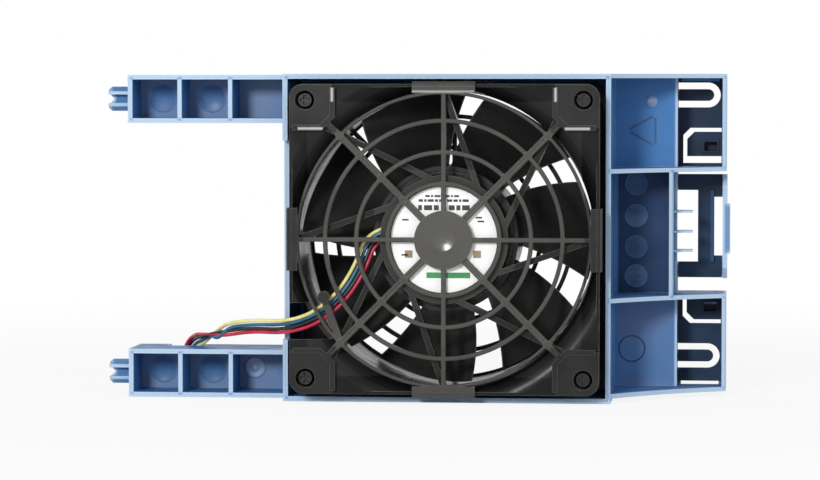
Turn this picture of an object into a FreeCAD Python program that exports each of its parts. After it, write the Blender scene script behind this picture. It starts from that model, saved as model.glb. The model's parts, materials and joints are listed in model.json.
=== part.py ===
# Server fan module: a 92 mm axial fan in a moulded carrier with guide arms and a latching head.
# Everything is modelled about the fan's axis: x to the right, y as depth behind the front guard's hub, z up.
# The export moves it so that the origin lies under the middle of the whole module, on the box's bottom face.
import FreeCAD, Part
import math
import os

V = FreeCAD.Vector
os.makedirs("parts", exist_ok=True)

# Cutting shapes run past the faces that they cut by this much
over = 1.0

# Fan housing
fan_size = 92.0
fan_depth = 38.0
fan_front = 2.0
screw_inset = 4.75
screw_hole_radius = 2.2
barrel_margin = 1.8
barrel_wall = 1.6
mouth_radius = 6.8
lip_width = 0.9
flange_thickness = 4.0
flange_corner_radius = 4.0
strut_count = 8
strut_width = 1.7
strut_twist = 33.0
strut_reach = 8.0
base_radius = 19.0
base_recess = 0.8
base_thickness = 2.4
base_rim_wall = 1.3
base_rim_height = 3.4
label_radius = 15.75
label_thickness = 0.12

# Finger guards
guard_hub_radius = 8.65
guard_hub_thickness = 1.8
guard_ring_radii = (16.6, 25.9, 35.2)
guard_ring_width = 1.3
guard_rim_inset = 0.75
guard_rim_width = 1.0
guard_bar_depth = 1.5
guard_bar_chamfer = 0.3
guard_spoke_width = 1.4
guard_diagonal_width = 2.0
guard_groove_width = 0.5
guard_groove_depth = 0.35
guard_knot_radius = 1.25
guard_knot_rise = 0.15
guard_dimple_radius = 3.2
guard_dimple_depth = 0.7
guard_corner_inset = 13.0
guard_corner_chamfer = 3.5
guard_corner_rib = 1.6
guard_corner_rib_short = 1.0
guard_plate_thickness = 0.9
guard_plate_gap = 0.1
guard_tab_width = 18.6
guard_tab_thickness = 0.6
guard_tab_gap = 0.1
guard_tab_hook = 0.8
guard_tab_hook_height = 1.0
guard_tab_groove = (1.9, 1.0)
retainer_width = 2.2
retainer_knob_radius = 1.8
retainer_start = (-31.0, -29.6)
retainer_end = (-35.6, -17.1)
rear_ring_radii = (17.0, 26.5, 36.0)
rear_guard_rim = 1.9
rear_guard_rim_gap = 0.15
rear_guard_rim_thickness = 0.8
rear_guard_overlap = 0.8
rear_opening_margin = 1.0

# Rotor
blade_count = 7
hub_radius = 21.6
hub_wall = 1.3
hub_front_gap = 4.3
hub_back_gap = 3.0
hub_edge_radius = 2.0
tip_gap = 0.9
blade_front_inset = 1.5
blade_back_inset = 1.0
blade_thickness = 1.5
blade_camber = 1.8
blade_lean_per_mm = 0.5
blade_first_angle = 52.5
blade_root_width = 47.0
blade_tip_width = 42.5
blade_stations = 4
yoke_gap = 0.05
yoke_wall = 0.9
yoke_inset = 0.5
magnet_thickness = 1.9
magnet_inset = 1.0
magnet_length = 18.0
shaft_radius = 1.5
shaft_clearance = 1.4
bushing_radius = 4.0
bushing_length = 4.0

# Bearings and tube
bearing_outer_radius = 4.0
bearing_width = 4.0
bearing_fit = 0.02
bearing_clearance = 3.0
shield_groove_width = 1.4
shield_groove_depth = 0.25
tube_wall = 1.4
tube_lip = 0.5
tube_step = 0.7
clip_width = 0.4
clip_radius = 2.6
clip_gap = 0.1
clip_groove = 0.3
clip_opening = 2.0
spring_height = 2.8
spring_thickness = 0.25
spring_bore_gap = 0.15
spring_rim_inset = 1.0

# Stator
air_gap = 0.6
stator_inset = 1.5
stator_length = 14.0
tooth_count = 4
tooth_width = 4.0
tooth_tip = 2.0
tooth_tip_angle = 74.0
core_ring_radius = 8.4
coil_overhang = 1.8
coil_corner_radius = 0.9
former_thickness = 0.5
former_gap = 0.1
former_cheek = 0.8
former_lip = 0.5
cheek_inset = 0.3
board_thickness = 1.2
board_gap = 1.2
board_edge_gap = 0.4

# Carrier box
box_gap = 1.5
box_wall = 1.5
box_setback = 7.6
floor_thickness = 1.6
rim_recess = 4.0
rim_recess_top = 20.0
rim_recess_bottom = 18.5
boss_radius = 3.6
boss_length = 3.4
pilot_gap = 0.05

# Guide arms
arm_length = 48.1
arm_height = 14.5
arm_inset = 0.3
arm_setback = 7.4
arm_back_gap = 4.6
arm_wall = 1.4
arm_floor_depth = 5.0
arm_floor_thickness = 1.2
arm_rib_offsets = (32.3, 16.9)
arm_rib_thickness = 1.3
ejector_radius = 3.9
ejector_depth = 0.25
pin_radius = 3.7
pin_length = 6.6
pin_offset = 6.0
pin_slot = 2.6
pin_web = 1.3
pin_notch = 1.6
pin_tip_chamfer = 0.8

# Head
head_length = 34.0
head_depth = 12.4
head_wall = 1.3
head_bottom_inset = 1.6
head_end_depth = 16.0
head_rim_hollow = 2.45
plate_thickness = 1.6
step_offset = 17.9
step_wall = 1.2
divider_upper = 20.1
divider_lower = -18.4
divider_thickness = 1.3
partition_inset = 0.4
gusset_levels = (7.3, 1.2, -4.6)
gusset_thickness = 0.6
gusset_reach = 5.6
gusset_height = 8.0
gusset_slope = 1.5
edge_window_inset = 1.0
edge_window_reach = 11.6
edge_window_height = 7.0
edge_window_depth = 0.5

# Flexing tongues
hinge_gap = 0.05
side_gap = 0.1
snap_upper_inset = 6.5
snap_lower_inset = 9.6
snap_slot_height = 7.6
snap_slot_inset = 2.0
snap_tongue_height = 3.6
snap_bump = 0.8
snap_bump_share = 0.7
catch_upper_gap = 3.6
catch_upper_height = 7.5
catch_lower_gap = 1.25
catch_lower_height = 6.95
catch_length = 12.2
catch_slot = 1.2
catch_inner_slot = 2.1
catch_hinge_inset = 0.4
catch_corner = 2.2
catch_hole_inset = 3.0
catch_hole_length = 3.9
catch_hole_height = 2.8
catch_hole_edge = 1.6
catch_lug_wall = 0.6
catch_lug_rim = 0.4
catch_lug_height = 3.0
catch_lug_floor = 1.0
catch_lug_ramp = 1.0

# Release latch
latch_upper_gap = 1.9
latch_lower_gap = 4.8
latch_proud = 0.2
latch_end_wall = 1.4
latch_end_height = 9.0
latch_corner = 3.3
latch_window_reach = 6.1
latch_window_insets = (4.8, 4.9)
latch_slot_width = 4.0
latch_slot_insets = (6.7, 7.0)
latch_ridge_insets = (7.7, 8.8)
latch_ridge_out = 0.9
latch_ridge_height = 3.0
latch_ridge_start = 0.6
latch_ridge_ramp = 1.0
latch_lip_width = 1.2
latch_lip_height = 1.0
latch_lip_overhang = 2.0

# Screws
screw_radius = 1.85
screw_head_radius = 2.5
screw_head_height = 1.6
screw_head_gap = 0.4
screw_head_edge = 0.5
screw_sink = 1.4
screw_end_gap = 0.2
cross_width = 0.9
cross_length = 3.0
cross_depth = 0.9

# Lead: four wires side by side, then the plug behind the lower arm
wire_diameter = 1.1
wire_pitch = 1.25
bend_share = 0.45
plug_pitch = 2.0
plug_length = 6.0
plug_height = 9.1
plug_thickness = 4.6
plug_gap = 0.1
plug_cavity = 1.3
plug_mouth_wall = 0.8
contact_size = 0.9
contact_length = 4.2
plug_approach = 3.2
lead_exit_width = 7.0
lead_gate = (-29.8, -19.0)
lead_notch = (9.9, 19.6)
lead_notch_depth = 1.0
wire_places = (-1.5, -0.5, 0.5, 1.5)
lead_route = (
    (-14.0, 2.6, 5.8),
    (-21.8, 1.4, 5.8),
    (-24.6, -8.0, 4.8),
    (-30.2, -17.0, 4.2),
    (-38.6, -23.6, 4.4),
    (-48.2, -26.8, 8.2),
    (-59.0, -26.8, 13.0),
    (-70.0, -27.8, 20.0),
    (-77.0, -30.6, 28.4),
    (-80.2, -33.4, 34.6),
    (-82.8, -37.8, 35.6),
)

# Fan, worked out from the values above
fan_half = fan_size / 2
fan_back = fan_front + fan_depth
hole_at = fan_half - screw_inset
barrel_radius = fan_half - barrel_margin
barrel_outer = barrel_radius + barrel_wall
flange_back = fan_front + flange_thickness
guard_front = fan_front - guard_bar_depth
guard_rim_radius = barrel_radius - guard_rim_inset
guard_corner_at = fan_half - guard_corner_inset
base_front = fan_front + base_recess
base_back = base_front + base_thickness
board_front = base_back + board_gap
board_back = board_front + board_thickness
tube_radius = bearing_outer_radius + tube_wall
hub_front = base_back + hub_front_gap
hub_back = fan_back - hub_back_gap
blade_front = hub_front + blade_front_inset
blade_back = hub_back - blade_back_inset
tip_radius = barrel_radius - tip_gap
yoke_front = hub_front + yoke_inset
yoke_back = hub_back - hub_wall
yoke_outer = hub_radius - hub_wall - yoke_gap
yoke_inner = yoke_outer - yoke_wall
magnet_outer = yoke_inner - yoke_gap
magnet_inner = magnet_outer - magnet_thickness
magnet_front = yoke_front + magnet_inset
stator_radius = magnet_inner - air_gap
stator_front = magnet_front + stator_inset
stator_back = stator_front + stator_length
bushing_back = yoke_back - yoke_wall
bushing_front = bushing_back - bushing_length
bearing_front_at = base_back + bearing_clearance
bearing_rear_at = bushing_front - spring_height - bearing_width
tube_end = bearing_rear_at + bearing_width + tube_lip
clip_at = bearing_front_at - clip_gap - clip_width

# Carrier, worked out from the values above
box_inner = fan_half + box_gap
box_half = box_inner + box_wall
box_front = fan_front + box_setback
box_back = fan_back + floor_thickness
rear_opening = barrel_radius + rear_opening_margin
arm_end = -box_half - arm_length
arm_top = box_half - arm_inset
arm_bottom = arm_top - arm_height
arm_middle = (arm_top + arm_bottom) / 2
arm_front = box_front + arm_setback
arm_back = box_back - arm_back_gap
arm_floor_at = arm_back - arm_floor_depth
pin_tip = arm_end - pin_length
pin_depth = arm_front + pin_offset
head_end = box_half + head_length
head_back = box_back + head_depth
head_bottom = -box_half + head_bottom_inset
head_end_rim = head_back - head_end_depth
step_at = box_half + step_offset
root_at = step_at + step_wall
partition_at = step_at - partition_inset
plate_front = head_back - plate_thickness
hinge_depth = head_back - plate_thickness / 2
hinge_radius = plate_thickness / 2
snap_level_upper = box_half - snap_upper_inset
snap_level_lower = head_bottom + snap_lower_inset
snap_slot_end = head_end - snap_slot_inset
catch_upper_low = divider_upper + catch_upper_gap
catch_upper = (catch_upper_low, catch_upper_low + catch_upper_height)
catch_lower_high = divider_lower - catch_lower_gap
catch_lower = (catch_lower_high - catch_lower_height, catch_lower_high)
catch_free_end = head_end - catch_length
catch_hinge_at = head_end - head_wall - catch_hinge_inset
catch_hole_end = head_end - catch_hole_inset
catch_hole_start = catch_hole_end - catch_hole_length
catch_lug_back = head_back + catch_lug_height
latch_top = divider_upper - latch_upper_gap
latch_bottom = divider_lower + latch_lower_gap
latch_end = head_end + latch_proud
latch_right = latch_end + latch_ridge_out
latch_rim = head_back - latch_end_height
latch_window_end = root_at + latch_window_reach
latch_window = (latch_bottom + latch_window_insets[0], latch_top - latch_window_insets[1])
latch_slot_start = latch_end - latch_slot_width
latch_slot = (latch_bottom + latch_slot_insets[0], latch_top - latch_slot_insets[1])
latch_ridge = (latch_bottom + latch_ridge_insets[0], latch_top - latch_ridge_insets[1])
plug_end = arm_end + arm_wall + plug_gap
plug_mouth = plug_end + plug_length
plug_middle = arm_floor_at + arm_floor_thickness + plug_thickness / 2
origin_shift = V(-(pin_tip + latch_right) / 2, -catch_lug_back / 2, box_half)


def block(x0, x1, y0, y1, z0, z1):
    return Part.makeBox(x1 - x0, y1 - y0, z1 - z0, V(x0, y0, z0))


def disc(radius, y0, y1, x=0.0, z=0.0):
    return Part.makeCylinder(radius, y1 - y0, V(x, y0, z), V(0, 1, 0))


def ring(outer, inner, y0, y1, x=0.0, z=0.0):
    return disc(outer, y0, y1, x, z).cut(disc(inner, y0 - over, y1 + over, x, z))


def hinge_pin(radius, x, z0, z1):
    return Part.makeCylinder(radius, z1 - z0, V(x, hinge_depth, z0), V(0, 0, 1))


def fuse(shapes):
    return shapes[0].multiFuse(shapes[1:]).removeSplitter()


def outline(points):
    corners = [V(*point) for point in points]
    return Part.Face(Part.makePolygon(corners + corners[:1]))


def prism(points, way):
    return outline(points).extrude(way)


def revolved(face):
    return face.revolve(V(0, 0, 0), V(0, 1, 0), 360)


def polar(radius, angle, y):
    return V(radius * math.cos(math.radians(angle)), y, radius * math.sin(math.radians(angle)))


def turned(shape, angle):
    copy = shape.copy()
    copy.rotate(V(0, 0, 0), V(0, -1, 0), angle)
    return copy


def along_depth(shape):
    return [edge for edge in shape.Edges if abs(edge.tangentAt(edge.FirstParameter).y) > 0.99]


def rounded_square(half, radius, y0, y1):
    plate = block(-half, half, y0, y1, -half, half)
    return plate.makeFillet(radius, along_depth(plate))


def at_corners(shape):
    # The shape sits at the upper right screw; its copies go to the other three corners.
    return [turned(shape, 90 * turn) for turn in range(4)]


def export(node, shape):
    moved = shape.copy()
    moved.translate(origin_shift)
    moved.exportStep("parts/" + node + ".step")
    print(node, len(moved.Solids), "solids", round(moved.Volume, 1), "mm3", "valid", moved.isValid())


# Carrier


def head_outline():
    # Side view of the head, with the hollow sloping rim, drawn at the head's bottom.
    start = V(box_half, box_front, head_bottom)
    end = V(head_end, head_end_rim, head_bottom)
    chord = end - start
    inward = V(-chord.y, chord.x, 0)
    inward.normalize()
    middle = (start + end) * 0.5 + inward * head_rim_hollow
    corners = [
        end,
        V(head_end, head_back, head_bottom),
        V(step_at, head_back, head_bottom),
        V(step_at, box_back, head_bottom),
        V(box_half, box_back, head_bottom),
        start,
    ]
    edges = [Part.Arc(start, middle, end).toShape()]
    edges += [Part.makeLine(a, b) for a, b in zip(corners, corners[1:])]
    return Part.Face(Part.Wire(edges)).extrude(V(0, 0, box_half - head_bottom))


def head_bays():
    half = divider_thickness / 2
    return {
        "upper": (divider_upper + half, box_half - head_wall),
        "middle": (divider_lower + half, divider_upper - half),
        "lower": (head_bottom + head_wall, divider_lower - half),
    }


def snap_slot(level):
    half = snap_slot_height / 2
    y0 = plate_front - over
    y1 = head_back + over
    straight = block(root_at, snap_slot_end - half, y0, y1, level - half, level + half)
    return straight.fuse(disc(half, y0, y1, snap_slot_end - half, level))


def catch_outline(z_edge, z_inner, x_free, y0, y1):
    # z_edge is the side away from the module's middle, where the free corner is cut off.
    cut = catch_corner if z_edge > z_inner else -catch_corner
    points = (
        (x_free + catch_corner, y0, z_edge),
        (catch_hinge_at, y0, z_edge),
        (catch_hinge_at, y0, z_inner),
        (x_free, y0, z_inner),
        (x_free, y0, z_edge - cut),
    )
    return prism(points, V(0, y1 - y0, 0))


def catch_slots():
    y0 = plate_front - over
    y1 = head_back + over
    free = catch_free_end - catch_slot
    upper = catch_outline(catch_upper[1] + catch_slot, catch_upper[0] - catch_inner_slot, free, y0, y1)
    lower = catch_outline(catch_lower[0] - catch_slot, divider_lower - divider_thickness / 2, free, y0, y1)
    return [upper, lower]


def hinge_seats():
    seats = []
    radius = hinge_radius + hinge_gap
    for level in (snap_level_upper, snap_level_lower):
        half = snap_tongue_height / 2 + side_gap
        seats.append(hinge_pin(radius, root_at, level - half, level + half))
    for low, high in (catch_upper, catch_lower):
        seats.append(hinge_pin(radius, catch_hinge_at, low - side_gap, high + side_gap))
    seats.append(hinge_pin(radius, root_at, latch_bottom - side_gap, latch_top + side_gap))
    return seats


def gusset(level):
    foot = partition_at + divider_thickness / 2
    z0 = level - gusset_thickness / 2
    points = (
        (foot, box_back, z0),
        (foot, box_back - gusset_height, z0),
        (foot + gusset_reach, box_back - gusset_height + gusset_slope, z0),
        (foot + gusset_reach, box_back, z0),
    )
    return prism(points, V(0, 0, gusset_thickness))


def head():
    body = head_outline()
    bays = head_bays()
    inner_end = head_end - head_wall
    floor_at = box_back - floor_thickness
    cuts = []
    for low, high in bays.values():
        cuts.append(block(box_half, inner_end, 0, floor_at, low, high))
        cuts.append(block(root_at, inner_end, floor_at - over, plate_front, low, high))
    low, high = bays["middle"]
    cuts.append(block(root_at, head_end + over, 0, head_back + over, low, high))
    cuts.append(block(step_at - over, root_at + over, box_back, head_back + over,
                      latch_window[0], latch_window[1]))
    cuts += [snap_slot(snap_level_upper), snap_slot(snap_level_lower)]
    cuts += catch_slots()
    wall = head_wall + edge_window_depth
    window_start = root_at + edge_window_inset
    for z0, z1 in ((head_bottom - over, head_bottom + wall), (box_half - wall, box_half + over)):
        cuts.append(block(window_start, window_start + edge_window_reach, head_back - edge_window_height,
                          head_back + over, z0, z1))
    body = body.cut(cuts)
    half = divider_thickness / 2
    partition = block(partition_at - half, partition_at + half, 0, box_back, low, high)
    partition = partition.common(head_outline())
    return body.fuse([partition] + [gusset(level) for level in gusset_levels])


def guide_pin(z):
    # Round split pin: the slots at its front and back leave a thin web, and the tip has a V notch.
    shaft = Part.makeCylinder(pin_radius, pin_length, V(arm_end, pin_depth, z), V(-1, 0, 0))
    tip = [edge for edge in shaft.Edges if abs(edge.BoundBox.XMax - pin_tip) < 0.01]
    shaft = shaft.makeChamfer(pin_tip_chamfer, tip)
    half = pin_slot / 2
    front = pin_depth - pin_radius
    back = pin_depth + pin_radius
    slots = [
        block(pin_tip - over, arm_end, front - over, pin_depth - pin_web / 2, z - half, z + half),
        block(pin_tip - over, arm_end, pin_depth + pin_web / 2, back + over, z - half, z + half),
    ]
    notch = prism(((pin_tip, front, z - pin_notch), (pin_tip, front, z + pin_notch),
                   (pin_tip + pin_notch, front, z)), V(0, 2 * pin_radius, 0))
    return shaft.cut(slots + [notch])


def arm(z_low, z_high, marks):
    body = block(arm_end, -box_half, arm_front, arm_back, z_low, z_high)
    edges = [arm_end + arm_wall]
    for offset in arm_rib_offsets:
        rib = -box_half - offset
        edges += [rib - arm_rib_thickness / 2, rib + arm_rib_thickness / 2]
    edges.append(-box_half)
    cuts = []
    for left, right in zip(edges[0::2], edges[1::2]):
        cuts.append(block(left, right, arm_front - over, arm_floor_at, z_low + arm_wall, z_high - arm_wall))
    cuts.append(block(arm_end + arm_wall, -box_half, arm_floor_at + arm_floor_thickness, arm_back + over,
                      z_low + arm_wall, z_high - arm_wall))
    for bay in range(marks):
        middle = (edges[2 * bay] + edges[2 * bay + 1]) / 2
        cuts.append(disc(ejector_radius, arm_floor_at - over, arm_floor_at + ejector_depth,
                         middle, (z_low + z_high) / 2))
    return body.cut(cuts)


def carrier_frame():
    floor_at = box_back - floor_thickness
    box = block(-box_half, box_half, box_front, box_back, -box_half, box_half)
    box = box.cut([
        block(-box_inner, box_inner, box_front - over, floor_at, -box_inner, box_inner),
        disc(rear_opening, floor_at - over, box_back + over),
        disc(rear_opening + rear_guard_rim, floor_at - over, floor_at + rear_guard_rim_thickness),
        block(-box_half - over, -box_inner, box_front - over, box_front + rim_recess,
              -box_half + rim_recess_bottom, box_half - rim_recess_top),
    ])
    boss_end = box_back + boss_length
    bosses = at_corners(disc(boss_radius, floor_at, boss_end, hole_at, hole_at))
    pilots = at_corners(disc(screw_radius + pilot_gap, floor_at - over, boss_end + over, hole_at, hole_at))
    arms = [arm(arm_bottom, arm_top, 2), arm(-arm_top, -arm_bottom, 3)]
    pins = [guide_pin(arm_middle), guide_pin(-arm_middle)]
    body = fuse([box, head()] + arms + pins + bosses)
    notch = block(arm_end + lead_notch[0], arm_end + lead_notch[1], arm_floor_at - lead_notch_depth,
                  arm_back + over, -arm_bottom - arm_wall, -arm_bottom + over)
    half = plug_height / 2 + plug_gap
    socket = block(arm_end - over, plug_end, arm_floor_at + arm_floor_thickness, arm_back + over,
                   -arm_middle - half, -arm_middle + half)
    return body.cut(pilots + hinge_seats() + [notch, socket])


def snap_tongue(level):
    half = snap_tongue_height / 2
    end = snap_slot_end - (snap_slot_height - snap_tongue_height) / 2 - half
    strip = block(root_at, end, plate_front, head_back, level - half, level + half)
    tip = disc(half, plate_front, head_back, end, level)
    bump = disc(half * snap_bump_share, hinge_depth, head_back + snap_bump, end, level)
    return fuse([strip, tip, bump, hinge_pin(hinge_radius, root_at, level - half, level + half)])


def catch_tongue(z_edge, z_inner):
    # A sprung plate with a hollow lug behind it; the lug is open to the front.
    plate = catch_outline(z_edge, z_inner, catch_free_end, plate_front, head_back)
    away = 1 if z_edge > z_inner else -1
    near = z_inner + away * catch_hole_edge
    far = near + away * catch_hole_height
    low, high = min(near, far), max(near, far)
    left = catch_hole_start - catch_lug_wall
    right = catch_hole_end + catch_lug_wall
    z0 = low - catch_lug_wall
    points = (
        (left, plate_front - catch_lug_rim, z0),
        (right, plate_front - catch_lug_rim, z0),
        (right, catch_lug_back - catch_lug_ramp, z0),
        (right - catch_lug_ramp, catch_lug_back, z0),
        (left, catch_lug_back, z0),
    )
    lug = prism(points, V(0, 0, catch_hole_height + 2 * catch_lug_wall))
    hole = block(catch_hole_start, catch_hole_end, plate_front - over, catch_lug_back - catch_lug_floor,
                 low, high)
    pin = hinge_pin(hinge_radius, catch_hinge_at, min(z_edge, z_inner), max(z_edge, z_inner))
    return fuse([plate, lug, pin]).cut(hole)


def release_latch():
    plate = block(root_at, latch_end, plate_front, head_back, latch_bottom, latch_top)
    wall_start = latch_end - latch_end_wall
    wall_points = (
        (wall_start, head_back, latch_bottom),
        (wall_start, latch_rim + latch_corner, latch_bottom),
        (wall_start, latch_rim, latch_bottom + latch_corner),
        (wall_start, latch_rim, latch_top - latch_corner),
        (wall_start, latch_rim + latch_corner, latch_top),
        (wall_start, head_back, latch_top),
    )
    end_wall = prism(wall_points, V(latch_end_wall, 0, 0))
    ridge_points = (
        (latch_end, latch_rim, latch_ridge[0]),
        (latch_right, latch_rim + latch_ridge_start, latch_ridge[0]),
        (latch_right, latch_rim + latch_ridge_height - latch_ridge_ramp, latch_ridge[0]),
        (latch_end, latch_rim + latch_ridge_height, latch_ridge[0]),
    )
    ridge = prism(ridge_points, V(0, 0, latch_ridge[1] - latch_ridge[0]))
    lip = block(latch_slot_start - latch_lip_width, latch_slot_start, plate_front - latch_lip_height,
                hinge_depth, latch_slot[0] - latch_lip_overhang, latch_slot[1] + latch_lip_overhang)
    pin = hinge_pin(hinge_radius, root_at, latch_bottom, latch_top)
    body = fuse([plate, end_wall, ridge, lip, pin])
    window = block(root_at - 2 * hinge_radius, latch_window_end, plate_front - over, head_back + over,
                   latch_window[0], latch_window[1])
    slot = block(latch_slot_start, wall_start, plate_front - latch_lip_height - over, head_back + over,
                 latch_slot[0], latch_slot[1])
    return body.cut([window, slot])


# Fan housing and guards


def bell_mouth():
    # The bore flares out in a quarter circle towards the front and leaves a square lip all round.
    rim = barrel_radius + mouth_radius
    mouth_end = fan_front + mouth_radius
    start = V(rim, fan_front, 0)
    end = V(barrel_radius, mouth_end, 0)
    middle = V(rim, mouth_end, 0) - V(1, 1, 0).normalize() * mouth_radius
    corners = [end, V(0, mouth_end, 0), V(0, 0, 0), V(rim, 0, 0), start]
    edges = [Part.Arc(start, middle, end).toShape()]
    edges += [Part.makeLine(a, b) for a, b in zip(corners, corners[1:])]
    flare = revolved(Part.Face(Part.Wire(edges)))
    inside = rounded_square(fan_half - lip_width, flange_corner_radius - lip_width, -over, mouth_end + over)
    return flare.common(inside)


def strut(angle):
    # The strut leans from the base's rim to the housing wall and runs on into the flange.
    outer = polar(barrel_radius, angle, 0)
    inner = polar(base_radius - base_rim_wall / 2, angle - strut_twist, 0)
    run = outer - inner
    half = strut_width / 2
    bar = block(0, run.Length + strut_reach, base_front, flange_back, -half, half)
    bar.rotate(V(0, 0, 0), V(0, -1, 0), math.degrees(math.atan2(run.z, run.x)))
    bar.translate(inner)
    edge = fan_half - lip_width / 2
    return bar.common(block(-edge, edge, base_front, flange_back, -edge, edge))


def fan_housing():
    front = rounded_square(fan_half, flange_corner_radius, fan_front, flange_back)
    back = rounded_square(fan_half, flange_corner_radius, fan_back - flange_thickness, fan_back)
    shell = fuse([front, back, disc(barrel_outer, fan_front, fan_back)])
    hole = disc(screw_hole_radius, 0, fan_back + over, hole_at, hole_at)
    sink = disc(screw_head_radius + screw_head_gap, 0, fan_front + screw_sink, hole_at, hole_at)
    gate = block(-fan_half - over, -hub_radius, fan_front - over, flange_back, lead_gate[0], lead_gate[1])
    bore = disc(barrel_radius, 0, fan_back + over)
    shell = shell.cut(at_corners(hole) + at_corners(sink) + [bore, bell_mouth(), gate])
    rim = ring(base_radius, base_radius - base_rim_wall, base_back, base_back + base_rim_height)
    base = fuse([disc(base_radius, base_front, base_back), rim])
    inside = disc(base_radius - base_rim_wall, base_back, base_back + base_rim_height)
    struts = [strut(360 / strut_count * k).cut(inside) for k in range(strut_count)]
    body = fuse([shell, base] + struts)
    exit_at = lead_route[0][1]
    half = lead_exit_width / 2
    lead_exit = block(-base_radius - over, -base_radius / 2, base_back, base_back + base_rim_height,
                      exit_at - half, exit_at + half)
    shoulder = disc(tube_radius, base_back - base_recess, base_back + over)
    return body.cut([lead_exit, shoulder])


def bar_profile(half, inner, outer, x=0.0):
    # Section of a guard bar across its length: flat towards the fan, chamfered away from it.
    chamfer = math.copysign(guard_bar_chamfer, outer - inner)
    return ((x, inner, -half), (x, outer - chamfer, -half), (x, outer, -half + guard_bar_chamfer),
            (x, outer, half - guard_bar_chamfer), (x, outer - chamfer, half), (x, inner, half))


def guard_ring(radius, width, inner, outer):
    points = [(radius + z, y, 0) for x, y, z in bar_profile(width / 2, inner, outer)]
    return revolved(outline(points))


def guard_bar(length, width, inner, outer):
    return prism(bar_profile(width / 2, inner, outer), V(length, 0, 0))


def front_spokes():
    corner = math.sqrt(2) * (guard_corner_at + guard_corner_chamfer / 2)
    upright = guard_bar(guard_rim_radius, guard_spoke_width, fan_front, guard_front)
    diagonal = guard_bar(corner, guard_diagonal_width, fan_front, guard_front)
    half = guard_groove_width / 2
    groove = block(guard_hub_radius, corner - guard_corner_rib, guard_front - over,
                   guard_front + guard_groove_depth, -half, half)
    diagonal = diagonal.cut(groove)
    knots = [disc(guard_knot_radius, guard_front - guard_knot_rise, fan_front, radius)
             for radius in guard_ring_radii + (guard_rim_radius,)]
    spokes = []
    for turn in range(4):
        spokes += [turned(upright, 90 * turn), turned(diagonal, 90 * turn + 45)]
        spokes += [turned(knot, 90 * turn + 45) for knot in knots]
    return spokes


def guard_corner():
    # A thin plate under the screw head, with an angled rib along its two inner sides.
    at = guard_corner_at
    cut = at + guard_corner_chamfer
    edge = fan_half - guard_plate_gap
    tip = edge - guard_corner_rib_short
    plate_at = fan_front - guard_plate_thickness
    plate = block(at, edge, plate_at, fan_front, at, edge)
    far = [e for e in along_depth(plate) if e.BoundBox.XMax > edge - 0.01 and e.BoundBox.ZMax > edge - 0.01]
    plate = plate.makeFillet(flange_corner_radius, far)
    inner_corner = prism(((at - over, plate_at - over, at - over), (cut + over, plate_at - over, at - over),
                          (at - over, plate_at - over, cut + over)), V(0, flange_thickness, 0))
    plate = plate.cut(inner_corner)
    half = guard_corner_rib / 2
    mitre = half * math.tan(math.radians(22.5))
    rib = prism((
        (at - half, guard_front, tip),
        (at - half, guard_front, cut - mitre),
        (cut - mitre, guard_front, at - half),
        (tip, guard_front, at - half),
        (tip, guard_front, at + half),
        (cut + mitre, guard_front, at + half),
        (at + half, guard_front, cut + mitre),
        (at + half, guard_front, tip),
    ), V(0, guard_bar_depth, 0))
    sink = disc(screw_head_radius + screw_head_gap, -over, fan_front + over, hole_at, hole_at)
    return fuse([plate, rib]).cut(sink)


def guard_tab():
    # The tab reaches over the housing's lip and hooks behind its flange.
    inside = fan_half + guard_tab_gap
    outside = inside + guard_tab_thickness
    half = guard_tab_width / 2
    hook_at = flange_back + guard_tab_gap
    hook_end = hook_at + guard_tab_hook_height
    top = block(guard_rim_radius, outside, guard_front, fan_front, -half, half)
    leg = block(inside, outside, guard_front, hook_end, -half, half)
    hook = block(fan_half - guard_tab_hook, outside, hook_at, hook_end, -half, half)
    groove_at = guard_rim_radius + guard_tab_groove[0]
    groove = block(groove_at, groove_at + guard_tab_groove[1], guard_front - over,
                   guard_front + guard_groove_depth, -half, half)
    barrel = disc(barrel_outer + guard_tab_gap, fan_front, fan_back)
    return fuse([top, leg, hook.cut(barrel)]).cut(groove)


def lead_retainer():
    # A finger on the guard's rim keeps the wires behind it.
    start = V(retainer_start[0], 0, retainer_start[1])
    end = V(retainer_end[0], 0, retainer_end[1])
    run = end - start
    bar = guard_bar(run.Length, retainer_width, fan_front, guard_front)
    bar.rotate(V(0, 0, 0), V(0, -1, 0), math.degrees(math.atan2(run.z, run.x)))
    bar.translate(start)
    knob = disc(retainer_knob_radius, guard_front - guard_knot_rise, fan_front, end.x, end.z)
    return [bar, knob]


def finger_guard_front():
    rings = [guard_ring(radius, guard_ring_width, fan_front, guard_front) for radius in guard_ring_radii]
    rings.append(guard_ring(guard_rim_radius, guard_rim_width, fan_front, guard_front))
    hub = disc(guard_hub_radius, 0, guard_hub_thickness)
    tabs = [turned(guard_tab(), 90 * turn) for turn in range(4)]
    body = fuse([hub] + rings + front_spokes() + at_corners(guard_corner()) + tabs + lead_retainer())
    return body.cut(disc(guard_dimple_radius, -over, guard_dimple_depth))


def finger_guard_rear():
    # Its rim lies in a recess of the carrier's floor and is held by the fan's back face.
    floor_at = box_back - floor_thickness
    outer = fan_back + guard_bar_depth
    half = guard_ring_width / 2
    rim_outer = rear_opening + rear_guard_rim - rear_guard_rim_gap
    rim = ring(rim_outer, barrel_radius - rear_guard_overlap, fan_back, floor_at + rear_guard_rim_thickness)
    hub = disc(guard_hub_radius, fan_back, box_back)
    rings = [ring(radius + half, radius - half, fan_back, outer) for radius in rear_ring_radii]
    spoke = block(0, barrel_radius, fan_back, outer, -guard_spoke_width / 2, guard_spoke_width / 2)
    return fuse([rim, hub] + rings + [turned(spoke, 45 * turn) for turn in range(8)])


# Rotor


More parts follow.
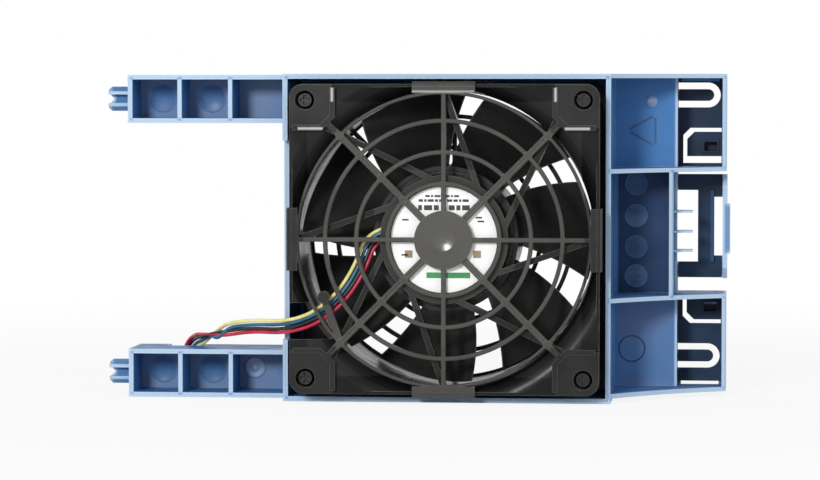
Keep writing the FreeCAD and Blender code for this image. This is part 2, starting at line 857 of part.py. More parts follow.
def blade_section(distance, width_angle, lean):
    # Thin cambered section in the plane that stands across the radius at this distance.
    half = distance * math.radians(width_angle) / 2
    thick = blade_thickness / 2
    middle_y = (blade_front + blade_back) / 2 + blade_camber
    front = V(distance, blade_front, half)
    back = V(distance, blade_back, -half)
    run = back - front
    across = V(0, -run.z, run.y)
    across.normalize()
    middle = V(distance, middle_y, 0)
    near = Part.BSplineCurve()
    near.interpolate([front, middle + across * thick, back])
    far = Part.BSplineCurve()
    far.interpolate([back, middle - across * thick, front])
    wire = Part.Wire([near.toShape(), far.toShape()])
    wire.rotate(V(0, 0, 0), V(0, -1, 0), lean)
    return wire


def blade():
    sections = []
    inner = hub_radius - 2 * hub_wall
    outer = barrel_radius + over
    for k in range(blade_stations):
        share = k / (blade_stations - 1)
        distance = inner + (outer - inner) * share
        width = blade_root_width + (blade_tip_width - blade_root_width) * share
        sections.append(blade_section(distance, width, blade_lean_per_mm * (tip_radius - distance)))
    return Part.makeLoft(sections, True)


def impeller():
    shell = disc(hub_radius, hub_front, hub_back)
    edge = [e for e in shell.Edges if e.BoundBox.YMin > hub_back - 0.01]
    shell = shell.makeFillet(hub_edge_radius, edge)
    shell = shell.cut(disc(hub_radius - hub_wall, hub_front - over, hub_back - hub_wall))
    root = hub_radius - hub_wall / 2
    bulge = blade_camber + blade_thickness
    wing = blade().common(ring(tip_radius, root, blade_front - bulge, blade_back + bulge))
    step = 360 / blade_count
    wings = [turned(wing, blade_first_angle + step * k) for k in range(blade_count)]
    return shell.fuse(wings)


def rotor_yoke():
    cup = disc(yoke_outer, yoke_front, yoke_back)
    cup = cup.cut(disc(yoke_inner, yoke_front - over, bushing_back))
    return cup.cut(disc(shaft_radius + bearing_fit, bushing_front, yoke_back + over))


def yoke_bushing():
    return ring(bushing_radius, shaft_radius + bearing_fit, bushing_front, bushing_back)


def ring_magnet():
    return ring(magnet_outer, magnet_inner, magnet_front, magnet_front + magnet_length)


def rotor_shaft():
    shaft = disc(shaft_radius, base_back + shaft_clearance, yoke_back)
    return shaft.cut(ring(shaft_radius + over, shaft_radius - clip_groove, clip_at, clip_at + clip_width))


def shaft_clip():
    body = ring(clip_radius, shaft_radius - clip_groove + bearing_fit,
                clip_at + bearing_fit, clip_at + clip_width - bearing_fit)
    half = clip_opening / 2
    return body.cut(block(0, clip_radius + over, clip_at - over, clip_at + over, -half, half))


def bearing(y0):
    y1 = y0 + bearing_width
    body = ring(bearing_outer_radius - bearing_fit, shaft_radius + bearing_fit, y0, y1)
    middle = (shaft_radius + bearing_outer_radius) / 2
    half = shield_groove_width / 2
    return body.cut([
        ring(middle + half, middle - half, y0 - over, y0 + shield_groove_depth),
        ring(middle + half, middle - half, y1 - shield_groove_depth, y1 + over),
    ])


def bearing_tube():
    # The tube stands in the base; a step between its two bores keeps the bearings apart.
    body = disc(tube_radius - bearing_fit, base_back - base_recess, tube_end)
    return body.cut([
        disc(bearing_outer_radius - tube_step, base_back, tube_end + over),
        disc(bearing_outer_radius, base_back, bearing_front_at + bearing_width),
        disc(bearing_outer_radius, bearing_rear_at, tube_end + over),
    ])


def preload_spring():
    # Conical spring washer between the rear bearing's inner ring and the bushing.
    low = bearing_rear_at + bearing_width
    inner = shaft_radius + spring_bore_gap
    outer = bearing_outer_radius - spring_rim_inset
    return revolved(outline(((inner, low, 0), (outer, bushing_front - spring_thickness, 0),
                             (outer, bushing_front, 0), (inner, low + spring_thickness, 0))))


# Stator and board


def tooth():
    half_width = tooth_width / 2
    reach = block((tube_radius + core_ring_radius) / 2, stator_radius - tooth_tip / 2,
                  stator_front, stator_back, -half_width, half_width)
    cap = ring(stator_radius, stator_radius - tooth_tip, stator_front, stator_back)
    half = tooth_tip_angle / 2
    far = 2 * stator_radius
    wedge = prism(((0, stator_front, 0), tuple(polar(far, half, stator_front)),
                   (2 * far, stator_front, 0), tuple(polar(far, -half, stator_front))),
                  V(0, stator_length, 0))
    return reach.fuse(cap.common(wedge))


def stator_core():
    middle = ring(core_ring_radius, tube_radius, stator_front, stator_back)
    return fuse([middle] + [turned(tooth(), 360 / tooth_count * k) for k in range(tooth_count)])


def around_tooth(outer_grow, inner_grow, start, end):
    # A sleeve round one tooth, between two offsets from the former's outside.
    def box(grow, x0, x1):
        grown = former_thickness + grow
        half = tooth_width / 2 + grown
        return block(x0, x1, stator_front - grown, stator_back + grown, -half, half)
    return box(outer_grow, start, end).cut(box(inner_grow, start - over, end + over))


def coil_end():
    # The coil's outer corners stay inside the curved tooth tips.
    corner = tooth_width / 2 + former_thickness + coil_overhang
    return math.sqrt((stator_radius - tooth_tip) ** 2 - corner ** 2) - former_gap


def stator_windings():
    start = core_ring_radius + former_gap + former_cheek
    coil = around_tooth(coil_overhang, 0, start, coil_end() - former_lip)
    outside = tooth_width / 2 + former_thickness + coil_overhang
    along = [edge for edge in coil.Edges if abs(edge.tangentAt(edge.FirstParameter).x) > 0.99
             and abs(edge.BoundBox.ZMin) > outside - 0.01]
    coil = coil.makeFillet(coil_corner_radius, along)
    return Part.makeCompound([turned(coil, 360 / tooth_count * k) for k in range(tooth_count)])


def coil_former():
    start = core_ring_radius + former_gap
    cheek_end = start + former_cheek
    end = coil_end()
    lip_start = end - former_lip
    cheek = coil_overhang - cheek_inset
    piece = fuse([
        around_tooth(0, -former_thickness, cheek_end, lip_start),
        around_tooth(cheek, -former_thickness, start, cheek_end),
        around_tooth(cheek, -former_thickness, lip_start, end),
    ])
    return Part.makeCompound([turned(piece, 360 / tooth_count * k) for k in range(tooth_count)])


def motor_board():
    return ring(base_radius - base_rim_wall - board_edge_gap, tube_radius, board_front, board_back)


def motor_label():
    return disc(label_radius, base_front - label_thickness, base_front)


def corner_screws():
    under = fan_front + screw_sink
    head_at = under - screw_head_height
    head_solid = disc(screw_head_radius, head_at, under, hole_at, hole_at)
    top = [edge for edge in head_solid.Edges if edge.BoundBox.YMax < head_at + 0.01]
    head_solid = head_solid.makeChamfer(screw_head_edge, top)
    end = box_back + boss_length - screw_end_gap
    shank = disc(screw_radius, under - screw_head_edge, end, hole_at, hole_at)
    half = cross_length / 2
    width = cross_width / 2
    bottom = head_at + cross_depth
    cross = [
        block(hole_at - half, hole_at + half, head_at - over, bottom, hole_at - width, hole_at + width),
        block(hole_at - width, hole_at + width, head_at - over, bottom, hole_at - half, hole_at + half),
    ]
    return Part.makeCompound(at_corners(head_solid.fuse(shank).cut(cross)))


# Lead


def wire_route(place):
    # The wires lie side by side across the route, and spread to the plug's pitch at its end.
    points = [V(x, y, z) for x, z, y in lead_route]
    mouth = V(plug_mouth, plug_middle, -arm_middle)
    points += [mouth + V(plug_approach, 0, 0), mouth]
    route = []
    for index, point in enumerate(points):
        before = points[max(index - 1, 0)]
        after = points[min(index + 1, len(points) - 1)]
        along = V(after.x - before.x, 0, after.z - before.z)
        along.normalize()
        across = V(-along.z, 0, along.x)
        pitch = wire_pitch
        if index >= len(lead_route):
            pitch = plug_pitch
            across = V(0, 0, -1)
        elif index == len(lead_route) - 1:
            pitch = (wire_pitch + plug_pitch) / 2
        route.append(point + across * (pitch * place))
    return route


def round_bar(start, end, diameter):
    way = end - start
    return Part.makeCylinder(diameter / 2, way.Length, start, way)


def round_bend(start, way, centre, turn, diameter):
    # A slice of a ring: the wire's round section turned about the bend's centre.
    circle = Part.Circle(start, way, diameter / 2)
    face = Part.Face(Part.Wire([circle.toShape()]))
    axle = (start - centre).cross(way)
    return face.revolve(centre, axle, math.degrees(turn))


def tube(points, diameter):
    pieces = []
    radii = []
    length = 0
    last = points[0]
    for index in range(1, len(points) - 1):
        before, point, after = points[index - 1], points[index], points[index + 1]
        back = before - point
        ahead = after - point
        turn = math.pi - back.getAngle(ahead)
        reach = bend_share * min(back.Length, ahead.Length)
        radii.append(reach / math.tan(turn / 2))
        back.normalize()
        ahead.normalize()
        start = point + back * reach
        end = point + ahead * reach
        inward = back + ahead
        inward.normalize()
        centre = point + inward * (radii[-1] / math.cos(turn / 2))
        pieces.append(round_bar(last, start, diameter))
        pieces.append(round_bend(start, back * -1, centre, turn, diameter))
        length += (start - last).Length + radii[-1] * turn
        last = end
    pieces.append(round_bar(last, points[-1], diameter))
    length += (points[-1] - last).Length
    body = pieces[0].multiFuse(pieces[1:])
    expected = math.pi * diameter ** 2 / 4 * length
    print("wire length", round(length, 1), "radii", [round(radius, 1) for radius in radii],
          "volume share", round(body.Volume / expected, 3))
    return body


def lead_plug():
    level = -arm_middle
    body = block(plug_end, plug_mouth, plug_middle - plug_thickness / 2, plug_middle + plug_thickness / 2,
                 level - plug_height / 2, level + plug_height / 2)
    half = plug_cavity / 2
    cavities = []
    for place in wire_places:
        z = level + plug_pitch * place
        cavities.append(block(plug_end - over, plug_mouth - plug_mouth_wall,
                              plug_middle - half, plug_middle + half, z - half, z + half))
    return body.cut(cavities)


def plug_contacts():
    half = contact_size / 2
    end = plug_mouth - plug_mouth_wall
    contacts = []
    for place in wire_places:
        z = -arm_middle + plug_pitch * place
        contacts.append(block(end - contact_length, end, plug_middle - half, plug_middle + half,
                              z - half, z + half))
    return Part.makeCompound(contacts)


nodes = {
    "carrier_frame": carrier_frame(),
    "release_latch": release_latch(),
    "catch_tongue_upper": catch_tongue(catch_upper[1], catch_upper[0]),
    "catch_tongue_lower": catch_tongue(catch_lower[0], catch_lower[1]),
    "snap_tongue_upper": snap_tongue(snap_level_upper),
    "snap_tongue_lower": snap_tongue(snap_level_lower),
    "fan_housing": fan_housing(),
    "finger_guard_front": finger_guard_front(),
    "finger_guard_rear": finger_guard_rear(),
    "impeller": impeller(),
    "rotor_yoke": rotor_yoke(),
    "yoke_bushing": yoke_bushing(),
    "ring_magnet": ring_magnet(),
    "rotor_shaft": rotor_shaft(),
    "shaft_clip": shaft_clip(),
    "bearing_tube": bearing_tube(),
    "bearing_front": bearing(bearing_front_at),
    "bearing_rear": bearing(bearing_rear_at),
    "preload_spring": preload_spring(),
    "stator_core": stator_core(),
    "stator_windings": stator_windings(),
    "coil_former": coil_former(),
    "motor_board": motor_board(),
    "motor_label": motor_label(),
    "corner_screws": corner_screws(),
    "lead_plug": lead_plug(),
    "plug_contacts": plug_contacts(),
}
for colour, place in zip(("yellow", "blue", "black", "red"), wire_places):
    nodes["wire_" + colour] = tube(wire_route(place), wire_diameter)

for node, shape in nodes.items():
    export(node, shape)
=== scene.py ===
# Looks of the server fan module: finishes, print, moulding marks and the lead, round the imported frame.
import json
import math

import bmesh
import bpy
from mathutils import Matrix, Vector


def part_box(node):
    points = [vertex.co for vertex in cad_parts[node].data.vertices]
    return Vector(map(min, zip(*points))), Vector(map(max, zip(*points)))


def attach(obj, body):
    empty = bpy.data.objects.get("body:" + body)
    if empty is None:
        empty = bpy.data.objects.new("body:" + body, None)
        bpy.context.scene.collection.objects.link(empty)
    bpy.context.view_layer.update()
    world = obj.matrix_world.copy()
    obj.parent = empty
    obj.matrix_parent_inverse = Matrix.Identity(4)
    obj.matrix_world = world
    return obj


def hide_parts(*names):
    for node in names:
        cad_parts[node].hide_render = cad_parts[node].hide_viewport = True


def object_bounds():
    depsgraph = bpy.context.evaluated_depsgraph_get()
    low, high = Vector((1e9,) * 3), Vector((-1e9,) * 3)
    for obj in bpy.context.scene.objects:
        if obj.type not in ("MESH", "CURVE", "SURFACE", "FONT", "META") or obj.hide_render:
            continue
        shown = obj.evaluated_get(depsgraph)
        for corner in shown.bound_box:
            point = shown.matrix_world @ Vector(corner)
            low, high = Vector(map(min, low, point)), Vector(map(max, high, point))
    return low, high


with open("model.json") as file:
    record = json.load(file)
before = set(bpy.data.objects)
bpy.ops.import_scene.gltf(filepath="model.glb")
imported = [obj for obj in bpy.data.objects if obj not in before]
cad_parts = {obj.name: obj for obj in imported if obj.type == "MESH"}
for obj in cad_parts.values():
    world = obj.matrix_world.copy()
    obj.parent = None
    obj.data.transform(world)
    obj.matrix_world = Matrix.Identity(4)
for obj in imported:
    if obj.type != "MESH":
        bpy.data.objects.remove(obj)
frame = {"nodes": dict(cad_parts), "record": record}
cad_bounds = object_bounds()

MM = 0.001
WHITE = (1.0, 1.0, 1.0, 1.0)

# The fan's axis and the front guard's face. Places are (x, depth, z) from these, in millimetres.
label_low, label_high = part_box("motor_label")
AXIS_X = (label_low.x + label_high.x) / 2
AXIS_Z = (label_low.z + label_high.z) / 2
FACE_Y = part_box("finger_guard_front")[0].y

# Camera: its place, the width that it shows at the guard's face, and its near and far limits in metres
CAMERA_PLACE = (87.9, -1000.0, 48.5)
SHOWN_WIDTH = 242.0
SENSOR_WIDTH = 36.0
CLIP_START = 0.05
CLIP_END = 50.0

# Light: the world's strength on the object, and lamps as (name, place and size in metres, watts)
WORLD_LEVEL = 0.44
LAMPS = (
    ("key", (-0.45, -1.6, 0.55), 0.3, 17.0),
    ("fill", (1.1, -0.9, 0.55), 0.9, 3.0),
)

# Floor: its reach, and where its white share starts to rise and is whole, in metres; then that share near
# the object, and the paint's colour
FLOOR_REACH = 6.0
FLOOR_NEAR = 0.12
FLOOR_FAR = 0.5
FLOOR_WHITE = 0.88
FLOOR_PAINT = (0.92, 0.92, 0.92, 1.0)

# Lead: the route of the ribbon's middle as (x, z, depth), and sizes in millimetres
LEAD_ROUTE = (
    (-14.0, 2.6, 5.8),
    (-21.8, 1.4, 5.8),
    (-24.6, -8.0, 4.8),
    (-30.2, -17.0, 4.2),
    (-38.6, -23.6, 4.4),
    (-48.2, -26.8, 8.2),
    (-59.0, -26.8, 13.0),
    (-70.0, -28.6, 20.0),
    (-77.0, -31.9, 28.4),
    (-80.2, -33.4, 34.6),
    (-82.8, -37.8, 35.6),
)
LEAD_STEP = 1.0
WIRE_DIAMETER = 1.1
WIRE_PITCH = 1.16
PLUG_PITCH = 2.0
PLUG_APPROACH = 3.2
# Wires as (colour, place in the ribbon in pitches, depth of its dip), and the share that the dip goes
# forward
WIRES = (("yellow", -1.5, 0.0), ("blue", -0.5, 2.2), ("black", 0.5, 0.0), ("red", 1.5, 0.0))
DIP_FORWARD = 0.6
# Shares of the lead's length: the half turns above the arm and behind it, the dip, and where the wires
# spread to the plug
HALF_TURNS = ((0.62, 0.85), (0.875, 0.97))
DIP_AT = 0.70
DIP_SPREAD = 0.03
PLUG_SPREAD = (0.94, 0.99)
# Halfway round a turn, the pitch narrows and the inner and outer wires part, to make the ribbon round
TURN_NARROWS = 0.35
TURN_ROUNDS = 0.42
# Uneven spacing: share of the pitch, and radians along the lead
WAVE_SHARE = 0.1
WAVE_ANGLE = 17

# The hollows of the two catch lugs, as boxes between two places
LUG_HOLLOWS = (
    ((76.1, 52.6, 25.3), (80.0, 56.05, 28.1)),
    ((76.1, 52.6, -25.0), (80.0, 56.05, -22.2)),
)
# Where the carrier's colour differs, as (place, place, colour, its share, how cloudy it is): a greyer
# haze on the arms' floors and the head's lower floor, a slightly darker blue on the head's upper floor,
# and painted shade on its middle floor, its deep plates and step, the latch's hollow and the lugs'
# hollows
BLUE_HAZE_AND_SHADE = (
    ((-95.8, 31.6, 35.2), (-49.4, 32.6, 47.7), "8393aa", 0.74, 0.5),
    ((-95.8, 31.6, -47.7), (-49.4, 32.6, -35.2), "8393aa", 0.74, 0.5),
    ((50.3, 39.0, 20.3), (67.0, 41.0, 47.4), "4178b2", 0.7, 0.25),
    ((50.3, 39.0, -18.3), (67.0, 41.0, 20.1), "06224a", 0.94, 0.15),
    ((50.3, 39.0, -45.8), (67.0, 41.0, -19.7), "66779a", 0.65, 0.5),
    ((67.0, 51.5, -45.8), (81.4, 53.3, 47.4), "091120", 0.93, 0.15),
    ((67.0, 41.0, -45.8), (68.2, 52.5, 47.4), "1d2e4c", 0.7, 0.2),
    ((68.4, 43.0, -9.0), (74.0, 54.5, 12.0), "1a2740", 0.85, 0.2),
    *((low, high, "070c17", 0.95, 0.0) for low, high in LUG_HOLLOWS),
)
# Deep in shade and out of a hand's reach, so without the paler edges of wear and painted highlight: the
# deep plates, the arms' floors and the lug hollows
SHADED_AND_UNWORN = (
    ((68.4, 43.0, -45.8), (81.4, 53.6, 47.4)),
    ((-95.8, 31.6, 35.2), (-49.4, 34.0, 47.7)),
    ((-95.8, 31.6, -47.7), (-49.4, 34.0, -35.2)),
    *LUG_HOLLOWS,
)
# The front guard: painted sheen on its rings and hub, painted highlights along the edges of its plates
# and upper tab, and painted shade at the retainer
GUARD_PAINTED_LIGHT = (
    ((-31.5, -1.0, -46.0), (31.5, 6.0, 46.0), "4b4a47", 0.85, 0.25),
    ((-41.4, -1.0, -31.5), (41.4, 6.0, 31.5), "4b4a47", 0.85, 0.25),
    ((-11.5, -1.0, -11.5), (11.5, 3.0, 11.5), "545350", 0.8, 0.2),
    ((-43.0, -1.0, 32.7), (-36.0, 0.6, 33.0), "c6c6c1", 0.8, 0.0),
    ((36.0, -1.0, 32.7), (43.0, 0.6, 33.0), "c6c6c1", 0.8, 0.0),
    ((-33.2, -1.0, 41.0), (-32.9, 0.6, 44.9), "c6c6c1", 0.8, 0.0),
    ((32.9, -1.0, 41.0), (33.2, 0.6, 44.9), "c6c6c1", 0.8, 0.0),
    ((-9.3, -1.0, 43.6), (8.9, 0.6, 43.9), "c6c6c1", 0.6, 0.4),
    ((-37.8, -1.0, -19.2), (-33.4, 6.0, -14.4), "1d1d1c", 0.9, 0.0),
)
# The housing's struts, and the motor's base round the label
HOUSING_TINTS = (
    ((-40.5, 1.8, -40.5), (40.5, 9.0, 40.5), "2c2c2b", 0.7, 0.3),
    ((-20.5, 1.5, -20.5), (20.5, 8.0, 20.5), "42423f", 0.75, 0.4),
)
TINT_FADE = 0.4

# Noise: the values that most of it lies between
NOISE_RANGE = (0.3, 0.7)
CLOUD_RANGE = (0.35, 0.65)
FLOW_RANGE = (0.4, 0.62)

# Plastic: noise scales in turns per metre, how far the roughness strays, the grain's depth in
# millimetres, and the softened edge as a share of the paler edges' radius
CLOUD_SCALE = 45.0
FLOW_SCALE = 18.0
FLOW_SQUEEZE = (1.0, 1.0, 6.0)
TINT_SCALE = 75.0
GLOSS_SCALE = 160.0
GLOSS_BELOW = 0.06
GLOSS_ABOVE = 0.08
GRAIN_SCALE = 2600.0
GRAIN_DEPTH = 0.012
EDGE_SOFTNESS = 0.6

# Metal: the streaks' scale and dimness, how far the roughness strays, and the softened edge
STREAK_SCALE = 900.0
STREAK_DIM = 0.78
STREAK_BELOW = 0.08
STREAK_ABOVE = 0.1
METAL_EDGE = 0.1

# Edges and rims: samples, and the agreement of directions and the openness at which each starts and ends
BEVEL_SAMPLES = 4
EDGE_RANGE = (0.98, 0.75)
RIM_SAMPLES = 8
RIM_RANGE = (0.97, 0.78)

# The Mix node's colour sockets: share, first and second, and the result
MIX_INPUTS = (0, 6, 7)
MIX_RESULT = 2

# Print on the label. Rows are (level, height, reach to each side), and the other marks start at an x.
PRINT_DEPTHS = (2.655, 2.7)
PRINT_ROWS = ((12.6, 0.6, 5.5), (11.2, 0.75, 7.5), (-7.6, 0.5, 4.0))
DASH_LENGTHS = (1.3, 0.7, 1.8, 0.9, 1.1, 0.6, 1.5)
DASH_GAP = 0.35
PRINT_BARS = ((-7.6, 1.1), (-5.9, 2.4), (-3.0, 1.5), (1.4, 1.8), (3.7, 1.2), (5.4, 2.3))
PRINT_BAR_LEVELS = (8.7, 10.2)
SHORT_DASHES = ((9.4, 6.3), (10.0, 5.2), (-12.4, 5.6), (-12.6, -4.8))
SHORT_DASH_SIZE = (1.9, 0.5)
PRINT_BLOCKS = (-11.6, 8.7)
PRINT_BLOCK_WIDTH = 2.3
PRINT_BLOCK_LEVELS = (-5.4, -3.2)
PRINT_BAND = (-5.2, 7.8, -11.4, -9.7)

# The soft dip in the front guard's hub, its place and face, and the thickness under it
HUB_MIDDLE = (0, 0)
GUARD_FACE = 0
DISH_RADIUS = 4.4
DISH_DEPTH = 0.66
DISH_BACK = 0.04
DISH_STEPS = 10
DISH_SEGMENTS = 64

# Round marks, as (radius, height over the floor) profiles, and their places as (x, z)
ARM_FLOOR = 32.0
EJECTOR_MARKS = ((-88.8, 41.45), (-73.6, 41.45), (-88.8, -41.45), (-73.6, -41.45))
EJECTOR_PROFILE = ((0, -0.2), (3.55, -0.17), (4.2, 0.05), (4.35, -0.02))
RINGED_MARK = (-60.6, -40.85)
RINGED_PROFILE = (
    (0, 0.5), (0.78, 0.42), (1.3, 0.1), (1.7, 0.1), (2.8, 0.32), (3.3, 0.3), (3.45, -0.02),
)
HEAD_FLOOR = 40.0
DATE_WHEELS = ((55.6, 15.6), (55.6, 5.9), (55.6, -3.6), (55.6, -12.6))
DATE_WHEEL_PROFILE = (
    (0, 0.1), (0.95, 0.1), (1.05, 0.22), (1.35, 0.22), (1.45, 0.08),
    (3.1, 0.08), (3.2, 0.26), (3.55, 0.26), (3.7, -0.05),
)
FAINT_RING = (54.4, -34.8)
FAINT_RING_PROFILE = ((3.65, -0.05), (3.75, 0.12), (4.1, 0.12), (4.2, -0.05))
GATE_MARK = (60.2, 40.5)
GATE_RADIUS = 1.9
GATE_HEIGHT = 0.75
GATE_STEPS = 8
# How far a mark's foot is sunk into the floor
MARK_FOOT = 0.05

# A date wheel's ticks, as a range of radii, half a width and a height
TICKS = 12
TICK_RADII = (1.75, 2.55)
TICK_SIDE = 0.1
TICK_HEIGHT = 0.2

# The plain triangle: its middle, its corners' radius and directions in degrees, and its lines' half
# width, height and gap at a corner
TRIANGLE_MARK = (58.6, 31.8)
TRIANGLE_RADIUS = 5.5
TRIANGLE_TURNS = (180, 300, 60)
TRIANGLE_SIDE = 0.3
TRIANGLE_HEIGHT = 0.14
TRIANGLE_GAP = 0.9

# The disc that fills the recess in the lower arm's third bay: x, z, radius, corners and depths
RECESS_DISC = (-57.1, -41.45, 4.05, 36)
RECESS_DEPTHS = (31.99, 32.25)

# The web that closes the head's upper edge: x and z ranges, and depths
TOP_WEB = (69.0, 80.8, 46.7, 48.98)
TOP_WEB_DEPTHS = (46.9, 53.95)


def spot(x, depth, z):
    return Vector((AXIS_X + x * MM, FACE_Y + depth * MM, AXIS_Z + z * MM))


def colour(code):
    # Six hexadecimal digits of a screen colour, turned into linear light.
    shares = [int(code[k:k + 2], 16) / 255 for k in (0, 2, 4)]
    linear = [s / 12.92 if s <= 0.04045 else ((s + 0.055) / 1.055) ** 2.4 for s in shares]
    return (*linear, 1.0)


# Materials


class Nodes:
    """Short calls that add nodes to one tree."""

    def __init__(self, tree):
        self.tree = tree

    def put(self, socket, value):
        # Links another node's output, or sets a plain value.
        if isinstance(value, bpy.types.NodeSocket):
            self.tree.links.new(value, socket)
        else:
            socket.default_value = value

    def fill(self, node, inputs):
        # Keys are the sockets' names, with _ for a space.
        for key, value in inputs.items():
            self.put(node.inputs[key.replace("_", " ")], value)

    def add(self, kind, settings=None, **inputs):
        node = self.tree.nodes.new(kind)
        for key, value in (settings or {}).items():
            setattr(node, key, value)
        self.fill(node, inputs)
        return node

    def combine(self, operation, first, second):
        node = self.add("ShaderNodeMath", {"operation": operation})
        self.put(node.inputs[0], first)
        self.put(node.inputs[1], second)
        return node.outputs[0]

    def product(self, first, second):
        return self.combine("MULTIPLY", first, second)

    def spread(self, value, low, high, to_low=0.0, to_high=1.0, curve="LINEAR"):
        # The value's range from low to high becomes to_low to to_high, and stops there.
        node = self.add("ShaderNodeMapRange", {"interpolation_type": curve}, Value=value)
        for socket, number in zip(node.inputs[1:5], (low, high, to_low, to_high)):
            socket.default_value = number
        return node.outputs["Result"]

    def background_rays(self):
        # 1 for rays that show the background: straight from the camera, mirrored or through glass.
        rays = self.add("ShaderNodeLightPath")
        seen = self.combine("MAXIMUM", rays.outputs["Is Camera Ray"], rays.outputs["Is Glossy Ray"])
        return self.combine("MAXIMUM", seen, rays.outputs["Is Transmission Ray"])


class Finish(Nodes):
    """One material: the nodes in front of its Principled shader. Lengths are in millimetres."""

    def __init__(self, name):
        self.material = bpy.data.materials.new(name)
        self.material.use_nodes = True
        super().__init__(self.material.node_tree)
        self.shader = self.tree.nodes["Principled BSDF"]
        self.place = self.add("ShaderNodeTexCoord").outputs["Object"]

    def wear(self, **inputs):
        self.fill(self.shader, inputs)

    def noise(self, scale, detail=3.0, squeeze=None):
        place = self.place
        if squeeze:
            place = self.add("ShaderNodeMapping", Vector=place, Scale=squeeze).outputs["Vector"]
        return self.add("ShaderNodeTexNoise", Vector=place, Scale=scale, Detail=detail).outputs["Fac"]

    def mix(self, share, first, second):
        node = self.add("ShaderNodeMix", {"data_type": "RGBA"})
        for number, value in zip(MIX_INPUTS, (share, first, second)):
            self.put(node.inputs[number], value)
        return node.outputs[MIX_RESULT]

    def softened(self, radius):
        # The surface's direction, with edges rounded by this radius.
        bevel = self.add("ShaderNodeBevel", {"samples": BEVEL_SAMPLES}, Radius=radius * MM)
        return bevel.outputs["Normal"]

    def edges(self, radius):
        # How far the surface's direction turns within this radius: 0 on flats, 1 along edges.
        agreement = self.add("ShaderNodeVectorMath", {"operation": "DOT_PRODUCT"})
        self.put(agreement.inputs[0], self.softened(radius))
        self.put(agreement.inputs[1], self.add("ShaderNodeNewGeometry").outputs["Normal"])
        return self.spread(agreement.outputs["Value"], *EDGE_RANGE)

    def rims(self, reach):
        # 1 on the narrow rims of walls, 0 on faces with this much material behind and beside them.
        settings = {"samples": RIM_SAMPLES, "inside": True, "only_local": True}
        openness = self.add("ShaderNodeAmbientOcclusion", settings, Distance=reach * MM)
        return self.spread(openness.outputs["AO"], *RIM_RANGE)

    def within(self, low, high):
        # 1 inside the box between two places, fading to 0 just outside it.
        fade = TINT_FADE * MM
        apart = self.add("ShaderNodeSeparateXYZ", Vector=self.place)
        share = None
        for axis, start, end in zip("XYZ", spot(*low), spot(*high)):
            value = apart.outputs[axis]
            inside = self.product(self.spread(value, start - fade, start),
                                  self.spread(value, end, end + fade, 1.0, 0.0))
            share = inside if share is None else self.product(share, inside)
        return share

    def relief(self, height, depth, edge_radius=None):
        bump = self.add("ShaderNodeBump", Height=height, Distance=depth * MM, Strength=1.0)
        if edge_radius:
            self.put(bump.inputs["Normal"], self.softened(edge_radius))
        self.wear(Normal=bump.outputs["Normal"])


def moulded(name, base, pale, dark, roughness, edge_radius=0.35, edge_share=0.6, haze=None,
            haze_share=0.35, rim_reach=None, tints_and_painted_light=(), shaded_and_unworn=(), shine=0.5):
    """Injection-moulded plastic: eroded grain, cloudy colour, patches of tint, painted shade and painted
    sheen, and paler edges and rims that are partly wear and partly painted highlight.
    """
    finish = Finish(name)
    cloud = finish.spread(finish.noise(CLOUD_SCALE, detail=4.0), *CLOUD_RANGE)
    flow = finish.spread(finish.noise(FLOW_SCALE, detail=2.0, squeeze=FLOW_SQUEEZE), *FLOW_RANGE)
    ground = finish.mix(cloud, colour(base), colour(dark))
    ground = finish.mix(finish.product(flow, haze_share), ground, colour(haze or pale))
    for low, high, patch_colour, share, cloudy in tints_and_painted_light:
        patch = finish.product(finish.within(low, high), share)
        if cloudy:
            uneven = finish.spread(finish.noise(TINT_SCALE), *NOISE_RANGE, to_low=1 - cloudy)
            patch = finish.product(patch, uneven)
        ground = finish.mix(patch, ground, colour(patch_colour))
    # Paler edges and thin rims: partly wear, partly painted highlight
    worn_and_lit = finish.product(finish.edges(edge_radius), edge_share)
    if rim_reach:
        worn_and_lit = finish.combine("MAXIMUM", worn_and_lit, finish.rims(rim_reach))
    for low, high in shaded_and_unworn:
        edge_kept = finish.spread(finish.within(low, high), 0.0, 1.0, to_low=1.0, to_high=0.0)
        worn_and_lit = finish.product(worn_and_lit, edge_kept)
    gloss = finish.spread(finish.noise(GLOSS_SCALE), *NOISE_RANGE,
                          to_low=roughness - GLOSS_BELOW, to_high=roughness + GLOSS_ABOVE)
    finish.wear(Base_Color=finish.mix(worn_and_lit, ground, colour(pale)), Roughness=gloss,
                Specular_IOR_Level=shine)
    finish.relief(finish.noise(GRAIN_SCALE, detail=2.0), GRAIN_DEPTH, edge_radius * EDGE_SOFTNESS)
    return finish.material


def metal(name, base, roughness, brushed=None, scratch=0.004):
    """Bare metal with fine streaks, closer along one direction where it is brushed."""
    finish = Finish(name)
    streaks = finish.noise(STREAK_SCALE, squeeze=brushed)
    light = colour(base)
    dim = (*(share * STREAK_DIM for share in light[:3]), 1.0)
    gloss = finish.spread(streaks, *NOISE_RANGE,
                          to_low=roughness - STREAK_BELOW, to_high=roughness + STREAK_ABOVE)
    finish.wear(Metallic=1.0, Roughness=gloss,
                Base_Color=finish.mix(finish.spread(streaks, *NOISE_RANGE), light, dim))
    finish.relief(streaks, scratch, METAL_EDGE)
    return finish.material


def insulation(name, base, dark):
    """Thin wire insulation, and ink: smooth, a little uneven, with dusty dull patches."""
    finish = Finish(name)
    dust = finish.spread(finish.noise(scale=320.0), *CLOUD_RANGE)
    finish.wear(Base_Color=finish.mix(dust, colour(base), colour(dark)),
                Roughness=finish.spread(dust, 0.0, 1.0, to_low=0.28, to_high=0.42))
    finish.relief(finish.noise(scale=700.0, detail=2.0), depth=0.02)
    return finish.material


